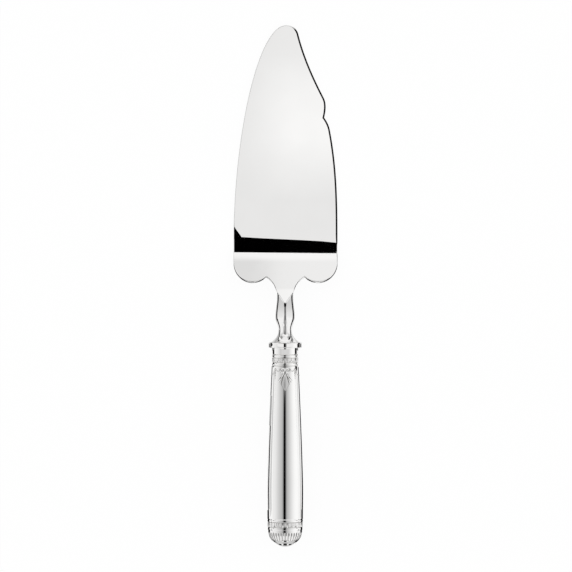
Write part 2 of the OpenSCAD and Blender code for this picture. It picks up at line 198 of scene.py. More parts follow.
def silver(name, bright, recess_dark, haze, along):
    """Polished silver plate: hand-rubbed hairlines, a little haze, and recesses coloured dark as tarnish
    and painted shade.
    """
    material = bpy.data.materials.new(name)
    material.use_nodes = True
    tree = material.node_tree
    shader = tree.nodes["Principled BSDF"]
    start = Wire(tree)
    spot = start.node("ShaderNodeTexCoord", out="Object")
    cloud = start.node(
        "ShaderNodeTexNoise", {}, {"Vector": spot, "Scale": 55.0, "Detail": 3.0, "Roughness": 0.5}
    )
    stretched = start.node("ShaderNodeMapping", {}, {"Vector": spot, "Scale": along})
    hairs = start.node(
        "ShaderNodeTexNoise", {}, {"Vector": stretched, "Scale": 1.0, "Detail": 2.0, "Roughness": 0.6}
    ).between(0.6, 0.74)
    # The recess value colours the silver towards its dark tone: tarnish and painted shade.
    recess = start.node("ShaderNodeAttribute", {"attribute_name": "recess"}, out="Fac")
    tarnish_and_shade = recess * (0.75 + 0.25 * cloud)
    tint = start.node(
        "ShaderNodeMix", {"data_type": "RGBA"},
        {0: cloud.between(0.3, 0.7), 6: (*[0.985 * c for c in bright], 1), 7: (*bright, 1)}, out=2,
    )
    colour = start.node(
        "ShaderNodeMix", {"data_type": "RGBA"}, {0: tarnish_and_shade, 6: tint, 7: (*recess_dark, 1)}, out=2
    )
    rough = haze + haze * 0.6 * cloud.between(0.35, 0.75) + 0.02 * hairs + 0.12 * tarnish_and_shade
    bump = start.node(
        "ShaderNodeBump", {}, {"Strength": 0.004, "Distance": 0.00002, "Height": hairs}
    )
    tree.links.new(colour.socket, shader.inputs["Base Color"])
    tree.links.new(rough.socket, shader.inputs["Roughness"])
    tree.links.new(bump.socket, shader.inputs["Normal"])
    shader.inputs["Metallic"].default_value = 1.0
    return material


shoulder = (
    arc(scallop_centre, scallop_round, scallop_end, scallop_start, steps=30)
    + arc(lobe_centre, lobe_round, lobe_start, 0, steps=40)
)
notched_edge = (
    curve(Vector((blade_half, 0)), Vector((blade_half, side_pull)),
          step_foot - side_pull * lean(side_lean), step_foot, steps=30)
    + curve(step_foot, step_foot + step_pull * lean(side_lean),
            notch - step_pull * lean(notch_lean), notch, steps=12)
    + curve(notch, notch + beak_pull * lean(beak_lean),
            beak_top - beak_pull * lean(sweep_lean), beak_top, steps=16)
    + curve(beak_top, beak_top + sweep_pull * lean(sweep_lean),
            tip_foot - sweep_pull * lean(nose_lean), tip_foot, steps=24)
    + curve(tip_foot, tip_foot + nose_pull * lean(nose_lean),
            tip + Vector((tip_pull, 0)), tip, steps=14)
)
crown = curve(tip, tip - Vector((crown_pull, 0)),
              Vector((-blade_half, crown_foot)), Vector((-blade_half, 0)), steps=60)
outline = (
    [Vector((0, tongue_tip))] + shoulder + notched_edge + crown + [Vector((-blade_half, 0))]
    + [Vector((-p.x, p.y)) for p in reversed(shoulder)]
)
for point in outline:
    if point.x < 0:
        point.x *= 1 - crown_trim * smooth((point.y - trim_from) / trim_over)


def edge_run(i):
    """Inward direction at a point of the outline, and how far the edge is ground there."""
    here, before, after = outline[i], outline[i - 1], outline[(i + 1) % len(outline)]
    sides = [Vector((-way.y, way.x)).normalized() for way in (here - before, after - here)]
    inward = (sides[0] + sides[1]).normalized()
    inward /= max(inward.dot(sides[0]), mitre_least)
    ground = 0.0
    if here.x > tip.x and here.y > ground_from:
        ground = smooth(min((here.y - ground_from) / ground_fade, (here.x - tip.x) / tip_fade, 1.0))
    return inward, ground


runs = [edge_run(i) for i in range(len(outline))]


def edge_ring(share, top):
    """The outline drawn in for one step of its worked edge, from the wall to the face."""
    ring = []
    angle = math.radians(90 * share)
    for point, (inward, ground) in zip(outline, runs):
        small = edge_round if point.y > tongue_root - tongue_hold else tongue_round
        inset, drop = small * (1 - math.cos(angle)), small * (1 - math.sin(angle))
        if top:
            inset += ground * (ground_wide * share - inset)
            drop += ground * (ground_deep * (1 - share) - drop)
        place = point + inset * inward
        ring.append(Vector((place.x, place.y, blade_thick - drop if top else drop)))
    return ring


def support_ring(top):
    """A last line just inside the worked edge, which keeps the polished face flat."""
    return [
        Vector((p.x + support_gap * inward.x, p.y + support_gap * inward.y, p.z))
        for p, (inward, _) in zip(edge_ring(1.0, top), runs)
    ]


edge_shares = [i / edge_rings for i in range(edge_rings + 1)]
blade = loft(
    "serving_blade",
    [support_ring(False)]
    + [edge_ring(share, False) for share in reversed(edge_shares)]
    + [edge_ring(share, True) for share in edge_shares]
    + [support_ring(True)],
)
bend_end = -bend_under * math.sin(heel_rise)
bpy.ops.object.mode_set(mode="EDIT")
cuts = [(bend_end - past_bend) * i / bend_slices for i in range(bend_slices + 1)]
cuts += [bend_end - 2 * past_bend, before_bend] + [lift_from - lift_step * i for i in range(lift_cuts)]
for y in cuts:
    bpy.ops.mesh.select_all(action="SELECT")
    bpy.ops.mesh.bisect(plane_co=(0, y, 0), plane_no=(0, 1, 0))
bpy.ops.object.mode_set(mode="OBJECT")


def face_height(y, r):
    """Height of a face of the bent plate over its own flat, by its bend's radius."""
    end = -r * math.sin(heel_rise)
    if y >= 0:
        return 0.0
    if y > end:
        return r - math.sqrt(r * r - y * y)
    past = max(lift_from - y, 0)
    steeper = past ** 2 / (2 * lift_over) if past < lift_over else past - lift_over / 2
    rise = r * (1 - math.cos(heel_rise)) + (end - y) * math.tan(heel_rise)
    return rise + (math.tan(tongue_rise) - math.tan(heel_rise)) * steeper


for vertex in blade.data.vertices:
    x, y, z = vertex.co
    slope = min(math.asin(min(max(-y / bend_under, 0), 0.99)), heel_rise)
    y += z * math.sin(slope) * smooth((y - tongue_root) / square_over)
    low, high = face_height(y, bend_under), face_height(y, bend_over) + blade_thick
    vertex.co = (x, y, low + (high - low) * z / blade_thick)
put_in_place(blade, Matrix(), crease=30)
blade.data.materials.append(
    silver("blade_polish", plate_bright, plate_recess_dark, haze=0.02, along=(900, 60, 300))
)
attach(blade, "root")
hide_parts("blade")

# Neck: a baluster forged from nickel silver and plated, with a flat-topped ridge above and below. It is
# let over the blade's tongue and brazed to it, flares into a trumpet on the collar, and its tang runs on
# into the handle's filling.
axis_foot = Vector((0, -29.2, 13.349))
handle_fall = math.radians(1.8389)
on_axis = Matrix.Translation(axis_foot) @ Matrix.Rotation(math.radians(90) + handle_fall, 4, "X")
neck_long = 27.0
neck_start, neck_belly, neck_waist, neck_flare = (4.2, 3.75), (5.05, 4.3), (3.5, 3.5), (7.4, 7.4)
lead, belly_at, waist_at, flare_power = 0.12, 0.51, 0.763, 2.3
under_tongue = 0.24
faceted, rounded, round_from, round_over = 1.3, 2.0, 0.42, 0.5
ridge_half, ridge_end, ridge_fade, fade_over = 0.46, 0.1, 0.6, 0.2
ridge_lean = math.tan(math.radians(2.0))
ridge_head, head_half, head_over = 0.275, 0.62, 0.04
neck_rings = 90
quarter_sides = 26
tang_thick, tang_thin, tang_long, tang_plain = 2.6, 1.7, 58.0, 2.8
tang_grooves, groove_half, groove_deep = 4, 1.0, 0.5
tongue_half, solder_gap = 4.65, 0.02
cutter_half, cutter_back = 20, 40
neck_bright = (0.95, 0.945, 0.937)


def neck_half(share, side):
    """Half width (side 0) or half height (side 1) of the neck at a share of its length."""
    a, b, c, d = (run[side] for run in (neck_start, neck_belly, neck_waist, neck_flare))
    if share < belly_at:
        return a + (b - a) * smooth((share - lead) / (belly_at - lead))
    if share < waist_at:
        return b + (c - b) * smooth((share - belly_at) / (waist_at - belly_at))
    return c + (d - c) * ((share - waist_at) / (1 - waist_at)) ** flare_power


def quartered(wide, high, power, station, flat, tilt):
    """A ring of four bulged quarters that leave a narrow, slightly leaning flat above and below."""
    last = math.acos((flat / wide) ** (power / 2))
    right = [
        (wide * math.cos(g) ** (2 / power), high * math.sin(g) ** (2 / power))
        for g in (last * i / quarter_sides for i in range(quarter_sides + 1))
    ]
    left = [(-x, y) for x, y in reversed(right)]
    under = [(-x, -y) for x, y in right] + [(x, -y) for x, y in reversed(right)][:-1]
    right[-1] = (right[-1][0], right[-1][1] - 2 * flat * tilt)
    return [Vector((x, y, station)) for x, y in right + left[:-1] + under]


neck_form = []
for i in range(neck_rings + 1):
    share = -under_tongue + (1 + under_tongue) * i / neck_rings
    power = faceted + (rounded - faceted) * smooth((share - round_from) / round_over)
    past_head = smooth((share - ridge_head) / head_over)
    flat = head_half + (ridge_half - head_half) * past_head
    flat += (ridge_end - ridge_half) * smooth((share - ridge_fade) / fade_over)
    neck_form.append(quartered(
        neck_half(share, 0), neck_half(share, 1), power, share * neck_long, flat, ridge_lean * past_head
    ))
tang_form = [(tang_thick, 0.0)]
for i in range(1, tang_grooves + 1):
    middle = tang_plain + (tang_long - tang_plain) * i / (tang_grooves + 1)
    for place, cut in ((-1, 0), (-1, 1), (1, 1), (1, 0)):
        at = middle + place * groove_half
        thick = tang_thick + (tang_thin - tang_thick) * at / tang_long
        tang_form.append((thick - cut * groove_deep, at))
tang_form.append((tang_thin, tang_long))
neck = loft(
    "baluster_neck",
    neck_form + [quartered(r, r, rounded, neck_long + at, ridge_end, ridge_lean) for r, at in tang_form],
)


def cut_away(piece, cutter):
    """Takes a cutter's form out of a piece, then clears the cutter away."""
    bpy.ops.object.select_all(action="DESELECT")
    bpy.context.view_layer.objects.active = piece
    piece.select_set(True)
    cut = piece.modifiers.new("cut", "BOOLEAN")
    cut.operation, cut.solver, cut.object = "DIFFERENCE", "EXACT", cutter
    bpy.ops.object.modifier_apply(modifier="cut")
    bpy.data.objects.remove(cutter)


heel_frame = on_axis.inverted() @ Matrix.Translation(axis_foot) @ Matrix.Rotation(-tongue_rise, 4, "X")


def heel_cutter(name, plan, depth):
    """A block over the heel's plane, drawn in plan and sunk to a depth under its upper face."""
    ring = [Vector((x, y / math.cos(tongue_rise), -depth)) for x, y in plan]
    block = loft(name, [ring, [p + Vector((0, 0, cutter_half)) for p in ring]])
    block.data.transform(heel_frame)
    return block


heel_plan = [
    (-cutter_half, -cutter_back), (cutter_half, -cutter_back),
    (cutter_half, cutter_half), (-cutter_half, cutter_half),
]
cut_away(neck, heel_cutter("over_heel", heel_plan, 0.0))
pocket_half = tongue_half + solder_gap
pocket_plan = [
    (-cutter_half, cutter_half), (-cutter_half, 0), (-pocket_half, 0),
    (0, tongue_tip - tongue_root - 2 * solder_gap),
    (pocket_half, 0), (cutter_half, 0), (cutter_half, cutter_half),
]
cut_away(neck, heel_cutter("tongue_pocket", pocket_plan, blade_thick + solder_gap / 2))
put_in_place(neck, on_axis, crease=7)
neck.data.materials.append(
    silver("neck_polish", neck_bright, plate_recess_dark, haze=0.03, along=(300, 300, 300))
)
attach(neck, "root")
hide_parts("neck")

# Collar: a disc turned from nickel silver with a rounded rim, plated and polished. It is bored for
# the tang and soldered between the neck's flare and the ferrule.
collar_from, collar_to = 27.0, 29.8
collar_half, collar_round, tang_bore = 8.575, 0.25, 2.7
rim_steps, turned_steps = 10, 128
weld = 0.0008


def turn(name, profile, sweep=360.0, first=0.0, steps=turned_steps):
    """Draws a closed profile of radius and station and spins it round the handle's axis."""
    start = math.radians(first)
    piece = draw_ring(
        name, [Vector((r * math.cos(start), r * math.sin(start), s)) for r, s in profile]
    )
    bpy.ops.object.mode_set(mode="EDIT")
    bpy.ops.mesh.select_all(action="SELECT")
    bpy.ops.mesh.spin(
        steps=steps, angle=math.radians(sweep), center=(0, 0, 0), axis=(0, 0, -1)
    )
    bpy.ops.mesh.select_all(action="SELECT")
    bpy.ops.mesh.remove_doubles(threshold=weld)
    bpy.ops.mesh.delete_loose(use_verts=True, use_edges=True, use_faces=False)
    bpy.ops.object.mode_set(mode="OBJECT")
    return piece


def close_up(piece):
    """Fills what is open and turns every face outwards."""
    bpy.ops.object.mode_set(mode="EDIT")
    bpy.ops.mesh.select_all(action="SELECT")
    bpy.ops.mesh.fill_holes(sides=0)
    bpy.ops.mesh.select_all(action="SELECT")
    bpy.ops.mesh.normals_make_consistent(inside=False)
    bpy.ops.object.mode_set(mode="OBJECT")


collar_in = collar_half - collar_round
near_rim = arc(Vector((collar_in, collar_from + collar_round)), collar_round, -90, 0, rim_steps)
far_rim = arc(Vector((collar_in, collar_to - collar_round)), collar_round, 0, 90, rim_steps)
collar = turn(
    "turned_collar",
    [(tang_bore, collar_from)] + [tuple(p) for p in near_rim + far_rim] + [(tang_bore, collar_to)],
)
close_up(collar)
put_in_place(collar, on_axis, crease=30)
collar.data.materials.append(
    silver("collar_polish", neck_bright, plate_recess_dark, haze=0.03, along=(700, 700, 80))
)
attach(collar, "root")
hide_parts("collar")

# Ferrule: a ring turned from nickel silver, plated, and soldered round the mouth of the handle. It has
# a plain band, two bead rings and a frieze of small leaves chased between them.
ferrule_from, ferrule_to = 29.8, 39.5
band_r, band_bore, groove_r = 6.85, 5.7, 6.6
bead_wide, bead_up = 1.3, 0.1
bead_one, bead_two = 33.62, 37.78
edge_break, groove_gap = 0.08, 0.06
chamfer_from, chamfer_to = 0.5, 0.14
frieze_from, frieze_to, frieze_r = 35.15, 37.55, band_r - 0.12
leaf_count, leaf_steps, leaf_rows, leaf_high = 24, 16, 18, 0.24
leaf_wide, leaf_shoulder, leaf_tip, leaf_wall, leaf_fall = 0.86, 0.45, 0.5, 0.12, 0.25
rib_half, rib_end, rib_soft, rib_low = 0.05, 0.7, 0.15, 0.45
dart_at, dart_soft, dart_high = 0.82, 0.1, 0.7
groove_tarnish_and_shade, ground_tarnish_and_shade, tarnish_and_shade_until = 0.8, 0.5, 0.4
close_by = 0.02
chased_hairs = (500, 120, 500)


def bead(r, start, wide, rise, steps=10):
    """A low round ring on a turned profile."""
    bead_r = (wide * wide / 4 + rise * rise) / (2 * rise)
    reach = math.degrees(math.asin(wide / 2 / bead_r))
    middle = Vector((r + rise - bead_r, start + wide / 2))
    return [tuple(p) for p in arc(middle, bead_r, -reach, reach, steps)]


def leaf(u, v):
    """Height of a chased tongue leaf over its ground: u runs across, v to its tip."""
    side = abs(u)
    past = max(v - leaf_shoulder, 0)
    wide = leaf_wide * math.sqrt(max(1 - (past / leaf_tip) ** 2, 0))
    inside = smooth((wide - side) / leaf_wall)
    rib = min(smooth((side - rib_half) / leaf_wall) + smooth((v - rib_end) / rib_soft), 1)
    dart = smooth((side - dart_at) / dart_soft) * smooth((1 - v) / dart_soft)
    dart *= smooth(past / (2 * dart_soft))
    return max(inside * (1 - leaf_fall * side) * (rib_low + (1 - rib_low) * rib), dart_high * dart)


def carve(piece, count, start, stop, r, high, groove):
    """Moves the ground of a band out into leaves and marks what stays low to be coloured dark as tarnish
    and painted shade, then copies it round.
    """
    # The ground between the leaves and the grooves are coloured dark: tarnish and painted shade.
    low = piece.data.attributes.new("recess", "FLOAT", "POINT")
    spread = 2 * math.pi / count
    for vertex in piece.data.vertices:
        x, y, s = vertex.co
        if start <= s <= stop and math.hypot(x, y) > r - close_by:
            up = leaf(2 * math.atan2(y, x) / spread, (s - start) / (stop - start))
            up *= smooth((s - start) / leaf_wall) * smooth((stop - s) / leaf_wall)
            out = 1 + high * up / math.hypot(x, y)
            vertex.co = (x * out, y * out, s)
            low.data[vertex.index].value = ground_tarnish_and_shade * (1 - smooth(up / tarnish_and_shade_until))
        elif abs(math.hypot(x, y) - groove) < close_by:
            low.data[vertex.index].value = groove_tarnish_and_shade
    copy_round(piece, count)


def copy_round(piece, count):
    """Copies one sector round the axis and joins the sectors."""
    bpy.ops.object.mode_set(mode="EDIT")
    bpy.ops.mesh.select_all(action="SELECT")
    bpy.ops.mesh.spin(
        steps=count - 1, dupli=True, angle=2 * math.pi * (count - 1) / count,
        center=(0, 0, 0), axis=(0, 0, -1),
    )
    bpy.ops.mesh.select_all(action="SELECT")
    bpy.ops.mesh.remove_doubles(threshold=weld)
    bpy.ops.object.mode_set(mode="OBJECT")


def steps_between(r, start, stop, count):
    """Points of a straight run of a turned profile, close enough to be carved."""
    return [(r, start + (stop - start) * i / count) for i in range(count + 1)]


ferrule = turn(
    "banded_ferrule",
    [(band_bore, ferrule_from), (band_r - edge_break, ferrule_from), (band_r, ferrule_from + edge_break),
     (band_r, bead_one - chamfer_from), (groove_r, bead_one - chamfer_to),
     (groove_r, bead_one - groove_gap)]
    + bead(band_r, bead_one, bead_wide, bead_up)
    + [(groove_r, bead_one + bead_wide + groove_gap), (groove_r, frieze_from - edge_break / 2)]
    + steps_between(frieze_r, frieze_from, frieze_to, leaf_rows)
    + [(groove_r, bead_two - groove_gap)]
    + bead(band_r, bead_two, bead_wide, bead_up)
    + [(groove_r, bead_two + bead_wide + edge_break), (groove_r, ferrule_to), (band_bore, ferrule_to)],
    sweep=360 / leaf_count, first=-180 / leaf_count, steps=leaf_steps,
)
carve(ferrule, leaf_count, frieze_from, frieze_to, frieze_r, leaf_high, groove_r)
close_up(ferrule)
put_in_place(ferrule, on_axis, crease=30)
# Its dark recess tone colours tarnish and painted shade in the frieze.
ferrule.data.materials.append(
    silver("ferrule_polish", plate_bright, (0.5, 0.49, 0.47), haze=0.03, along=chased_hairs)
)
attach(ferrule, "root")
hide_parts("ferrule")

# Handle shells: two half shells pressed from nickel silver sheet, soldered along the sides, plated,
# and polished over the seam. The front one is uppermost.
shell_from, shell_long, shell_wall = 39.5, 80.4, 0.8
mouth_r, grip_r, end_r, grip_at, grip_power = 7.05, 9.45, 9.35, 65.0, 1.3
mouth_gap = 0.05
shell_rows, shell_steps = 72, 96


def shell_r(s):
    """Outer radius of the shells at a distance from their mouth."""
    if s < grip_at:
        return grip_r + (mouth_r - grip_r) * (1 - s / grip_at) ** grip_power
    return grip_r + (end_r - grip_r) * smooth((s - grip_at) / (shell_long - grip_at))


stations = [shell_long * i / shell_rows for i in range(shell_rows + 1)]
shell_line = [(shell_r(s), shell_from + s) for s in stations]
mouth_out = band_bore - mouth_gap
shell_profile = (
    [(mouth_out - shell_wall, ferrule_from), (mouth_out, ferrule_from), (mouth_out, shell_from)]
    + shell_line
    + [(r - shell_wall, s) for r, s in reversed(shell_line) if s > shell_from + shell_wall]
    + [(shell_r(shell_wall) - shell_wall, shell_from + shell_wall),
       (mouth_out - shell_wall, shell_from + shell_wall)]
)
for name, node, first in (
    ("shell_front", "handle_front", 0.0), ("shell_back", "handle_back", 180.0)
):
    shell = turn(name, shell_profile, sweep=180.0, first=first, steps=shell_steps)
    close_up(shell)
    put_in_place(shell, on_axis, crease=30)
    shell.data.materials.append(
        silver(name + "_polish", plate_bright, plate_recess_dark, haze=0.025, along=(700, 45, 500))
    )
    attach(shell, "root")
    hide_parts(node)

# Ribbon bow: a tied ribbon with two loops and four tails, chased in the silver of each half shell
# under the ferrule. Its low relief stands in a cut line; its foot is coloured dark as tarnish and painted
# shade.
ribbon_s, ribbon_high = 41.15, 0.34
shell_arc = 7.3
loop_wide, tail_root, tail_end, tail_slant, slant_steps = 0.7, 0.35, 1.1, 0.4, 6
hollow, wall_up, foot_up, foot_down, foot_wide = 0.62, 0.06, 0.05, -0.1, 0.09
ridge_flat, eaves, wall_out = 0.12, 0.42, 0.02
knot_s, knot_long, knot_wide = ribbon_s + 0.1, 1.7, 1.3
bud_slim, tarnish_and_shade_high = 0.45, 0.5


def on_shell(along, s, high):
    """A point over the shells, by its run along the girth from the front, its station and height."""
    r = shell_r(s - shell_from) + high
    turned = along / shell_arc
    return Vector((r * math.sin(turned), r * math.cos(turned), s))


def through(points, steps):
    """A smooth line through points, with the same number of steps between each two."""
    points = [Vector(p) for p in points]
    ends = [2 * points[0] - points[1]] + points + [2 * points[-1] - points[-2]]
    line = []
    for a, b, c, d in zip(ends, ends[1:], ends[2:], ends[3:]):
        line += curve(b, b + (c - a) / 6, c - (d - b) / 6, c, steps)
    return line + [points[-1]]


def both_sides(right, middle):
    """A section from its right half, mirrored, with what stands in the middle."""
    return [(-along, high) for along, high in reversed(right)] + middle + right


def ribbon(line, width_from, width_to, slant, side):
    """A hollowed strip along a line of run and station, its end cut at a slant."""
    rings = []
    for i, p in enumerate(line):
        way = (line[min(i + 1, len(line) - 1)] - line[max(i - 1, 0)]).normalized()
        over = Vector((-way.y, way.x))
        half = (width_from + (width_to - width_from) * i / (len(line) - 1)) / 2
        cut = slant * smooth((i + slant_steps + 1 - len(line)) / slant_steps)
        foot = 1 + foot_wide / half
        right = [(0.7, 1), (0.95, 0.6), (1, wall_up), (foot, foot_up), (foot, foot_down)]
        ring = []
        for place, high in both_sides(right, [(0, hollow)]):
            spot = p + place * half * (over - cut * way)
            ring.append(on_shell(side * spot.x, ribbon_s - spot.y, high * ribbon_high))
        rings.append(ring)
    return loft("strip", rings)


def tail_pair(form):
    """The two long tails side by side: a low roof over the shells, with a cut line along its foot."""
    rings = []
    for s, half, foot, ridge in form:
        right = [(ridge_flat, ridge), (half, eaves * ridge), (half + wall_out, wall_up),
                 (half + foot, foot_up), (half + foot, foot_down)]
        rings.append([on_shell(along, s, high * ribbon_high) for along, high in both_sides(right, [])])
    return loft("strip", rings)


def leaf_bud(along, s, heading, long, wide):
    """A small pointed leaf on the shells, heading so many degrees off the handle's length."""
    bpy.ops.object.select_all(action="DESELECT")
    bpy.ops.mesh.primitive_uv_sphere_add(segments=8, ring_count=5, radius=1.0)
    bud = bpy.context.object
    for vertex in bud.data.vertices:
        x, y, z = vertex.co
        slim = 1 - bud_slim * abs(z)
        vertex.co = (x * slim * wide / 2, y * slim * ribbon_high, z * long / 2)
    turned = along / shell_arc
    spot = on_shell(along, s, 0.0)
    stand = Matrix.Translation(spot) @ Matrix.Rotation(-turned, 4, "Z")
    bud.data.transform(stand @ Matrix.Rotation(math.radians(heading), 4, "Y"))
    return bud


def join_up(name, forms):
    """Joins forms into one piece and marks their feet as recessed, to be coloured dark as tarnish and
    painted shade.
    """
    bpy.ops.object.select_all(action="DESELECT")
    for form in forms:
        form.select_set(True)
    bpy.context.view_layer.objects.active = forms[0]
    bpy.ops.object.join()
    piece = bpy.context.object
    piece.name = piece.data.name = name
    # The feet are coloured dark: tarnish and painted shade.
    foot = piece.data.attributes.new("recess", "FLOAT", "POINT")
    for vertex in piece.data.vertices:
        up = math.hypot(vertex.co.x, vertex.co.y) - shell_r(vertex.co.z - shell_from)
        foot.data[vertex.index].value = 1 - smooth(up / (tarnish_and_shade_high * ribbon_high))
    return piece


loop = through(
    [(0.1, 0.1), (1.0, 0.6), (2.1, 0.1), (2.4, -1.0), (1.6, -1.8), (0.7, -1.2), (0.1, -0.3)],
    steps=5,
)
outer = through([(0.3, -0.6), (1.0, -2.6), (2.1, -4.3), (3.5, -6.2)], steps=5)
# Each row of the tails is a station, half the width, the cut line's width and the ridge's height.
tails = [
    (42.6, 0.2, 0.35, 0.9), (43.5, 0.36, 0.45, 1.0), (45.0, 0.8, 0.5, 1.0), (46.5, 1.25, 0.5, 1.0),
    (48.0, 1.7, 0.48, 1.0), (48.7, 1.9, 0.36, 1.0), (49.4, 1.7, 0.22, 1.0), (50.5, 1.1, 0.15, 0.9),
    (51.5, 0.6, 0.08, 0.7), (52.3, 0.16, 0.04, 0.4),
]
for name, back in (("ribbon_front", 0.0), ("ribbon_back", 180.0)):
    strips = []
    for side in (-1, 1):
        strips.append(ribbon(loop, loop_wide, loop_wide, 0.0, side))
        strips.append(ribbon(outer, tail_root, tail_end, tail_slant, side))
    strips.append(tail_pair(tails))
    strips.append(leaf_bud(0, knot_s, 0, knot_long, knot_wide))
    bow = join_up(name, strips)
    put_in_place(bow, on_axis @ Matrix.Rotation(math.radians(back), 4, "Z"), crease=40)
    # The near-black recess tone colours tarnish and painted shade at the bow's foot.
    bow.data.materials.append(
        silver(name + "_polish", plate_bright, (0.12, 0.115, 0.11), haze=0.05, along=chased_hairs)
    )
    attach(bow, "root")

# Garland: leaf swags hung between rosettes on the handle's shoulders, with husks under each rosette,
# chased in the shells' silver in the same low relief.
rosette_at, rosette_s = 5.85, 41.2
petal_count, petal_out, petal_long, petal_wide = 6, 0.48, 0.95, 0.5
husk_count, husk_from, husk_step, husk_fade = 5, 1.4, 0.85, 0.13
husk_out, husk_lean, husk_long = 0.22, 20, 1.05
swag_lean, swag_long, leaflet_wide = 28, 1.0, 0.42
swag = through([(2.7, 0.5), (3.6, -0.7), (4.5, -0.8), (5.3, 0.0)], steps=2)
side_swag = through([(6.5, -0.3), (7.6, -2.2), (9.4, -3.1), (11.47, -3.3)], steps=4)
buds = []
for quarter in range(4):
    flip = -1 if quarter % 2 else 1
    half_way = shell_arc * math.pi if quarter > 1 else 0.0
    for petal in range(petal_count):
        heading = 360 / petal_count * petal
        out_x = petal_out * math.sin(math.radians(heading))
        out_s = petal_out * math.cos(math.radians(heading))
        buds.append(leaf_bud(
            half_way + flip * rosette_at + out_x, rosette_s + out_s, heading, petal_long, petal_wide
        ))
    for husk in range(husk_count):
        fade = 1 - husk_fade * husk
        for lean_side in (-1, 1):
            buds.append(leaf_bud(
                half_way + flip * rosette_at + husk_out * lean_side * fade,
                rosette_s + husk_from + husk_step * husk,
                -husk_lean * lean_side, husk_long * fade, leaflet_wide * fade,
            ))
    for line in (swag, side_swag):
        for here, after in zip(line, line[1:]):
            way = after - here
            heading = math.degrees(math.atan2(way.x, -way.y))
            for lean_side in (-1, 1):
                buds.append(leaf_bud(
                    half_way + flip * here.x, ribbon_s - here.y,
                    flip * (heading + swag_lean * lean_side), swag_long, leaflet_wide,
                ))
garland = join_up("garland", buds)
put_in_place(garland, on_axis, crease=40)
# Its dark recess tone colours tarnish and painted shade at the leaves' feet.
garland.data.materials.append(
    silver("garland_polish", plate_bright, (0.36, 0.35, 0.33), haze=0.05, along=chased_hairs)
)
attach(garland, "root")

# Pommel: a plated cap turned from nickel silver, its spigot soldered in the shells. It has two beads
# with a frieze of leaves between them, a cove, and a dome of gadroons that end in round tips.
pommel_from = shell_from + shell_long
spigot_r, spigot_long, cap_bore = 8.5, 4, 7.6
joint_r, joint_low, joint_long = 9.3, 9.1, 0.44
top_bead, top_bead_r, top_bead_wide = 120.4, 9.2, 1.1
low_bead, low_bead_r, low_gap = 124.45, 9.02, 0.03
leaf_from, leaf_to, leaf_r, ring_groove = 121.65, 124.3, 8.95, 8.85
cap_leaf_rows, cap_leaf_high = 20, 0.3
cove_from, cove_r, cove_out, cove_deep, cove_rows = 125.8, 8.94, 0.02, 0.04, 8
dome_from, dome_r, dome_high, dome_rows = 127.0, 8.75, 7.35, 30
seat_r, seat_thick, stem_bore = 5.2, 1.2, 1.25
vault_in, vault_up, vault_foot = 1.5, 3.2, 0.6
gadroon_count, gadroon_steps, gadroon_deep, gadroon_foot = 32, 10, 0.5, 0.05
tip_from, tip_long = 0.5, 0.22
shallow_most, shallow_from, shallow_over = 0.85, 0.4, 0.3
undarkened_from, undarkened_over, undarkened_end, end_over = 0.25, 0.6, 0.72, 0.1


def cove_point(share):
    """A point of the hollow moulding between the lower bead and the dome."""
    bulge = cove_out * share ** 2 - cove_deep * math.sin(math.pi * share)
    return cove_r + bulge, cove_from + (dome_from - cove_from) * share


pommel = turn(
    "pommel",
    [(cap_bore, pommel_from - spigot_long), (spigot_r, pommel_from - spigot_long), (spigot_r, pommel_from),
     (joint_r, pommel_from), (joint_low, pommel_from + joint_long)]
    + bead(top_bead_r, top_bead, top_bead_wide, bead_up)
    + [(ring_groove, top_bead + top_bead_wide + groove_gap), (ring_groove, leaf_from - groove_gap)]
    + steps_between(leaf_r, leaf_from, leaf_to, cap_leaf_rows)
    + [(ring_groove, low_bead - low_gap)]
    + bead(low_bead_r, low_bead, bead_wide, bead_up)
    + [cove_point(i / cove_rows) for i in range(cove_rows + 1)]
    + [(cap_bore, dome_from)],
    sweep=360 / leaf_count, first=-180 / leaf_count, steps=leaf_steps,
)
carve(pommel, leaf_count, leaf_from, leaf_to, leaf_r, cap_leaf_high, ring_groove)
close_up(pommel)

seat_turn = math.acos(seat_r / dome_r)
dome_turns = [seat_turn * i / dome_rows for i in range(dome_rows + 1)]
dome_line = [(dome_r * math.cos(a), dome_from + dome_high * math.sin(a)) for a in dome_turns]
seat_s = dome_line[-1][1]
dome = turn(
    "dome",
    dome_line + [(stem_bore, seat_s), (stem_bore, seat_s - seat_thick),
                 (cap_bore - vault_in, dome_from + vault_up),
                 (cap_bore, dome_from + vault_foot), (cap_bore, dome_from)],
    sweep=360 / gadroon_count, steps=gadroon_steps,
)
low = dome.data.attributes.new("recess", "FLOAT", "POINT")
for vertex in dome.data.vertices:
    x, y, s = vertex.co
    r = math.hypot(x, y)
    rise = (s - dome_from) / dome_high
    skin_r = dome_r * math.sqrt(max(1 - rise * rise, 0))
    if r > max(skin_r - close_by / 2, seat_r + close_by / 2):
        u = 2 * math.atan2(y, x) * gadroon_count / (2 * math.pi) - 1
        share = math.asin(min(rise, 1)) / seat_turn
        tip_run = max((share - tip_from) / tip_long, 0)
        swell = math.sqrt(max(1 - u * u - tip_run * tip_run, 0))
        foot = smooth(share / gadroon_foot)
        shallow = 1 - shallow_most * smooth((share - shallow_from) / shallow_over)
        out = 1 - gadroon_deep * (1 - swell) * shallow * foot / r
        vertex.co = (x * out, y * out, s)
        # The gadroons' valleys are coloured dark: tarnish and painted shade.
        recess_dark = 1 - smooth((swell - undarkened_from) / undarkened_over)
        low.data[vertex.index].value = recess_dark * smooth((undarkened_end - share) / end_over)
copy_round(dome, gadroon_count)
close_up(dome)
bpy.ops.object.select_all(action="DESELECT")
dome.select_set(True)
pommel.select_set(True)
bpy.context.view_layer.objects.active = pommel
bpy.ops.object.join()
put_in_place(pommel, on_axis, crease=35)
